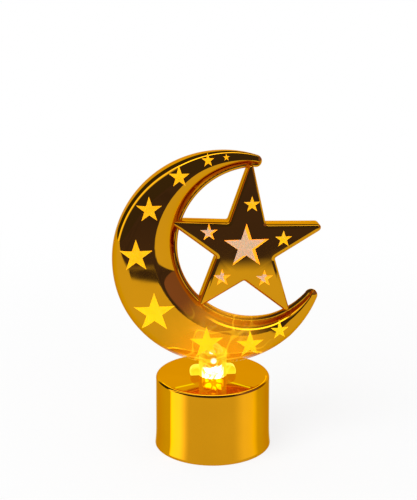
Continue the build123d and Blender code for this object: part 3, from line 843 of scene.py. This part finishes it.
# Plated star, front and back half, moulded in one with the crescent's halves: a flat face, upright
# side walls and rounded edges, with a large bare star in the middle and a small one on each arm.
STAR = (10.85, 70.0)
STAR_REACH = (30.6, 29.3, 28.6, 26.6, 28.4)
STAR_NOTCHES = (10.4, 10.4, 11.2, 10.4, 10.8)
STAR_TURN = 3.05
STAR_HALF_T = 3.5
STAR_TIP_R = (0.9, 1.3, 0.9, 0.9, 0.9)
STAR_NOTCH_R = 0.8
STAR_EDGE_R = 1.5
STAR_WINDOWS = [
    (10.8, 70.8, 7.85), (12.55, 85.1, 2.85), (23.2, 73.0, 3.0),
    (16.95, 59.6, 3.0), (2.75, 60.3, 3.0), (-1.7, 75.95, 3.0),
]
YELLOW_STAR_WINDOWS = STAR_WINDOWS[1:3]
BACK_LOWER = (2.0, -0.4, -0.4, 1.6, 1.3, 1.7)
ARC = 8
star_points = star_corners(STAR_REACH, STAR_NOTCHES, STAR_TURN)


def star_outline(step, inset):
    """A point on the star's outline, its tips and notches rounded, moved inwards by the inset."""
    corner, along = divmod(step, ARC)
    corner %= 10
    here = Vector(star_points[corner])
    back = (Vector(star_points[corner - 1]) - here).normalized()
    ahead = (Vector(star_points[(corner + 1) % 10]) - here).normalized()
    half = back.angle(ahead) / 2
    tip = corner % 2 == 0
    corner_r = STAR_TIP_R[corner // 2] if tip else STAR_NOTCH_R
    middle = here + (back + ahead).normalized() * corner_r / math.sin(half)
    if tip and inset > corner_r - 0.02:
        return here + (back + ahead).normalized() * inset / math.sin(half)
    start = here + back * corner_r / math.tan(half) - middle
    stop = here + ahead * corner_r / math.tan(half) - middle
    turn = start.angle_signed(stop) * along / (ARC - 1)
    spoke = Vector((start.x * math.cos(turn) + start.y * math.sin(turn),
                    start.y * math.cos(turn) - start.x * math.sin(turn)))
    return middle + spoke.normalized() * (corner_r - inset if tip else corner_r + inset)


edge_turns = [math.radians(90 * step / 8) for step in range(9)]
star_profile = [(0.12, 0.0), (0.1, 0.1), (0.0, 0.2)] + [
    (STAR_EDGE_R * (1 - math.cos(turn)), STAR_HALF_T - STAR_EDGE_R * (1 - math.sin(turn))) for turn in edge_turns
]
deselect()
bpy.ops.mesh.primitive_grid_add(x_subdivisions=10 * ARC, y_subdivisions=len(star_profile) - 1, size=1)
star = bpy.context.object
star.name = "star_front"
for vertex in star.data.vertices:
    inset, depth = star_profile[round((vertex.co.y + 0.5) * (len(star_profile) - 1))]
    side, up = star_outline(round((vertex.co.x + 0.5) * 10 * ARC), inset)
    vertex.co = Vector((STAR[0] + side, -depth, STAR[1] + up)) * MM
bpy.ops.object.mode_set(mode="EDIT")
bpy.ops.mesh.select_all(action="SELECT")
bpy.ops.mesh.remove_doubles(threshold=2e-7)
bpy.ops.object.mode_set(mode="OBJECT")
choose_edges(star, lambda place: abs(place.y + STAR_HALF_T * MM) < 1e-7)
bpy.ops.object.mode_set(mode="EDIT")
bpy.ops.mesh.edge_face_add()
bpy.ops.mesh.select_all(action="SELECT")
bpy.ops.mesh.quads_convert_to_tris(quad_method="BEAUTY", ngon_method="BEAUTY")
bpy.ops.object.mode_set(mode="OBJECT")
face_out(star)
star_back = copy_of(star, "star_back")
star_panes = cut_windows(star, STAR_WINDOWS)
star_panes.name = "star_windows_front"
star_panes_back = cut_windows(star_back, [
    (x, z - lower, radius) for (x, z, radius), lower in zip(STAR_WINDOWS, BACK_LOWER)
])
star_panes_back.name = "star_windows_back"
turn_to_back(star_back)
turn_to_back(star_panes_back)
# The star's panes: mostly clear bare plastic with a faint tan painted glow.
tan_window = window_plastic("tan_window", (0.38, 0.225, 0.02), 0.28, 0.5)
shell_half(star, star_panes, tan_window, "front_shell")
# Two small windows, on the top and the right arm, take the yellow painted glow instead of the tan one.
star_panes.data.materials.append(yellow_window)
for face in star_panes.data.polygons:
    for x, z, radius in YELLOW_STAR_WINDOWS:
        if math.dist((face.center.x, face.center.z), (x * MM, z * MM)) < radius * MM and face.material_index < 2:
            face.material_index = 3
shell_half(star_back, star_panes_back, tan_window, "back_shell")

# Neck and lugs: the bare clear foot of the two shell halves, which stands in the base's socket. A
# rounded lug on each side rests on the base's top. The lamp inside floods it with warm light.
# The lamp's warm light in the neck, the lugs and the dome is a painted glow in their plastic.
NECK_R = 4.75
NECK_BORE_R = 3.8
NECK_FOOT = 22.0
NECK_TOP = 33.5
LUG_IN = 4.4
LUG_OUT = 7.85
LUG_FOOT = 25.02
LUG_TOP = 28.2
LUG_DEPTH = 3.0
LUG_CORNER_R = 2.0
LUG_EDGE_R = 0.35


def lamp_glow_plastic(name, low, high, turn, spot, edge, solid):
    """Clear plastic around the lamp, lit by a painted glow: one colour below a ragged height and one above, a
    painted bright spot, lines of painted light and lit edges.
    """
    material, tree, shader = new_material(name)
    set_inputs(shader, {
        "Base Color": (0.25, 0.12, 0.01, 1), "Roughness": 0.1, "Specular IOR Level": 0.02, "Emission Strength": 1.0,
    })
    place = add_node(tree, "TexCoord")
    axes = add_node(tree, "SeparateXYZ")
    ragged = add_noise(tree, 650, 2)
    height = add_node(tree, "Math", {1: 0.004}, operation="MULTIPLY_ADD")
    level = add_range(tree, (turn + 1.6) * MM, (turn + 2.6) * MM)
    zones = add_mix(tree, low, high)
    # A painted bright spot of light around one point.
    apart = add_node(tree, "VectorMath", {1: [part * MM for part in spot]}, operation="DISTANCE")
    spot_size = add_range(tree, 1.2 * MM, 0.6 * MM)
    spotted = add_mix(tree, None, (2.5, 2.3, 1.6))
    veins = light_veins(tree, place, 240, 0.02, 0.06, 0.96)
    veined = add_mix(tree, None, edge)
    turned_away = add_node(tree, "LayerWeight")
    rim = add_range(tree, 0.16, 0.45)
    rimmed = add_mix(tree, None, edge)
    body = add_range(tree, 0.0, 1.0, solid, 0.95)
    clear = add_node(tree, "BsdfTransparent")
    mix = add_node(tree, "MixShader")
    join(
        tree,
        (place, "Object", axes, "Vector"),
        (place, "Object", ragged, "Vector"),
        (place, "Object", apart, 0),
        (ragged, "Fac", height, 0),
        (axes, "Z", height, 2),
        (height, "Value", level, "Value"),
        (level, "Result", zones, 0),
        (apart, "Value", spot_size, "Value"),
        (spot_size, "Result", spotted, 0),
        (veins, "Result", veined, 0),
        (zones, 2, veined, 6),
        (veined, 2, spotted, 6),
        (turned_away, "Facing", rim, "Value"),
        (rim, "Result", rimmed, 0),
        (spotted, 2, rimmed, 6),
        (rimmed, 2, shader, "Emission Color"),
        (rim, "Result", body, "Value"),
        (body, "Result", mix, "Fac"),
        (clear, "BSDF", mix, 1),
        (shader, "BSDF", mix, 2),
        (mix, "Shader", tree.nodes["Material Output"], "Surface"),
    )
    return material


neck_glow = lamp_glow_plastic(
    "neck_glow", (6.0, 5.4, 3.6), (0.80, 0.26, 0.002), 28.5, (-0.2, -4.75, 31.4), (0.98, 0.74, 0.02), 0.8,
)
lug_glow = lamp_glow_plastic("lug_glow", (0.90, 0.74, 0.01), (0.92, 0.66, 0.01), 26.5, (0, 0, 0), (0.97, 0.88, 0.04), 0.8)
neck_outline = [(NECK_BORE_R, NECK_FOOT), (NECK_R, NECK_FOOT), (NECK_R, NECK_TOP), (NECK_BORE_R, NECK_TOP)]
neck = turned("clear_neck", neck_outline, 128, [(1, 0.2, 3)])
finish_smooth(neck, 35)
neck.data.materials.append(neck_glow)
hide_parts("front_shell", "back_shell")
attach(neck, "base")

for name, direction in (("lug_left", -1), ("lug_right", 1)):
    deselect()
    bpy.ops.mesh.primitive_cube_add(size=1)
    lug = bpy.context.object
    lug.name = name
    for vertex in lug.data.vertices:
        out = LUG_OUT if vertex.co.x > 0 else LUG_IN
        up = LUG_TOP if vertex.co.z > 0 else LUG_FOOT
        vertex.co = (direction * out * MM, LUG_DEPTH * vertex.co.y * MM, up * MM)
    choose_edges(lug, lambda place: abs(place.x) > LUG_IN * MM + 1e-6 and place.z > LUG_FOOT * MM + 1e-6)
    bpy.ops.object.mode_set(mode="EDIT")
    bpy.ops.mesh.bevel(offset=LUG_CORNER_R * MM, segments=8, affect="EDGES")
    bpy.ops.mesh.select_all(action="SELECT")
    bpy.ops.mesh.normals_make_consistent(inside=False)
    bpy.ops.object.mode_set(mode="OBJECT")
    soft = lug.modifiers.new("soft_edges", "BEVEL")
    soft.width = LUG_EDGE_R * MM
    soft.segments = 3
    soft.angle_limit = math.radians(50)
    bpy.ops.object.modifier_apply(modifier=soft.name)
    finish_smooth(lug, 35)
    lug.data.materials.append(lug_glow)
    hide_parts("front_shell", "back_shell")
    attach(lug, "base")

# Light guide: a clear dome that stands on the circuit board inside the neck and carries the lamp's
# light up into the crescent. Its round top shows through the thin plating.
DOME_R = 3.65
DOME_TOP = 36.2
dome_arc = [
    (DOME_R * math.sin(math.radians(9 * step)), DOME_TOP - DOME_R + DOME_R * math.cos(math.radians(9 * step)))
    for step in range(11)
]
dome_outline = [
    (0.02, dome_arc[0][1]), *dome_arc[1:], (DOME_R, 21.6), (5.8, 21.4), (5.8, 20.0), (3.0, 20.0),
    (3.0, 27.4), (2.6, 28.9), (1.5, 30.0), (0.02, 30.4),
]
dome = turned("light_guide_dome", dome_outline, 96)
finish_smooth(dome, 40)
guide_plastic = lamp_glow_plastic(
    "guide_plastic", (3.2, 2.9, 2.3), (0.98, 0.48, 0.01), 28.5, (-0.5, -3.2, 33.8), (1.0, 0.85, 0.06), 0.9,
)
dome.data.materials.append(guide_plastic)
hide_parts("lamp_dome")
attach(dome, "base")


# Lamp and its legs: a warm round lamp on two square tinned legs, soldered through the board. The
# resin body glows nearly white.
def speckled(name, colour, second, scale, rough, metal=0.0):
    """A moulded, rolled or drawn finish: two near shades in a fine grain, with a little relief."""
    material, tree, shader = new_material(name)
    set_inputs(shader, {"Metallic": metal})
    place = add_node(tree, "TexCoord")
    grain = add_noise(tree, scale, 4)
    ramp = add_node(tree, "ValToRGB")
    set_stops(ramp, [(0.35, second), (0.65, colour)])
    worn = add_range(tree, 0.0, 1.0, rough * 0.8, rough * 1.2)
    bump = add_node(tree, "Bump", {"Strength": 0.08, "Distance": 0.0004})
    join(
        tree,
        (place, "Object", grain, "Vector"),
        (grain, "Fac", ramp, "Fac"),
        (ramp, "Color", shader, "Base Color"),
        (grain, "Fac", worn, "Value"),
        (worn, "Result", shader, "Roughness"),
        (grain, "Fac", bump, "Height"),
        (bump, "Normal", shader, "Normal"),
    )
    return material


def dress(node, material):
    """Put a finish on a solid that shows as it is."""
    shown = nodes[node]
    shown.data.materials.clear()
    shown.data.materials.append(material)


lamp_resin = window_plastic("lamp_resin", (1.0, 0.85, 0.45), 0.9, 3.0)
dress("led_lens", lamp_resin)
dress("led_leads", speckled("tinned_legs", (0.72, 0.72, 0.70), (0.60, 0.60, 0.58), 900, 0.3, 1.0))

# Circuit board with its resistor, held up to the cup's bosses by two screws: green mask over
# laminate, a lacquered resistor body, zinc plated steel.
dress("circuit_board", speckled("green_mask", (0.02, 0.11, 0.03), (0.015, 0.08, 0.02), 500, 0.35))
dress("resistor", speckled("resistor_lacquer", (0.56, 0.38, 0.19), (0.46, 0.30, 0.14), 700, 0.4))
zinc = speckled("zinc_plate", (0.60, 0.60, 0.62), (0.48, 0.48, 0.50), 800, 0.28, 1.0)
dress("board_screws", zinc)

# Cells, contacts and switch: two bright nickel cells between sprung strips, and a slide switch of
# folded sheet steel with a pressed wafer and three tinned terminals.
nickel = speckled("cell_nickel", (0.66, 0.66, 0.67), (0.55, 0.55, 0.56), 600, 0.22, 1.0)
for cell in ("coin_cell_lower", "coin_cell_upper"):
    dress(cell, nickel)
spring_strip = speckled("spring_strip", (0.70, 0.68, 0.62), (0.58, 0.56, 0.50), 700, 0.25, 1.0)
for contact in ("leaf_contact", "side_contact"):
    dress(contact, spring_strip)
dress("switch_can", speckled("folded_sheet", (0.62, 0.63, 0.64), (0.50, 0.51, 0.52), 700, 0.3, 1.0))
dress("switch_wafer", speckled("pressed_wafer", (0.17, 0.07, 0.02), (0.12, 0.05, 0.015), 900, 0.6))
dress("switch_terminals", speckled("terminal_tin", (0.70, 0.70, 0.68), (0.58, 0.58, 0.56), 800, 0.3, 1.0))

# Wires: three short wires in soft coloured sleeves, from cell to switch, switch to board and board to
# cell, soldered end on to their tabs and terminals.
for wire, colour in (("red_wire", (0.35, 0.01, 0.01)), ("yellow_wire", (0.60, 0.34, 0.01)),
                     ("black_wire", (0.015, 0.015, 0.015))):
    dress(wire, speckled(wire + "_sleeve", colour, tuple(0.7 * part for part in colour), 1200, 0.5))

# Bottom cover, its screws and the battery door: satin off-white mouldings that lie inside the cup's
# foot, the door turned with a coin. The knob of the switch stands in its slot.
satin = speckled("satin_cover", (0.70, 0.69, 0.65), (0.64, 0.63, 0.59), 1500, 0.5)
dress("bottom_cover", satin)
dress("battery_door", speckled("satin_door", (0.66, 0.65, 0.61), (0.60, 0.59, 0.55), 1500, 0.5))
dress("cover_screws", zinc)
dress("switch_knob", speckled("knob_black", (0.02, 0.02, 0.02), (0.012, 0.012, 0.012), 1500, 0.45))
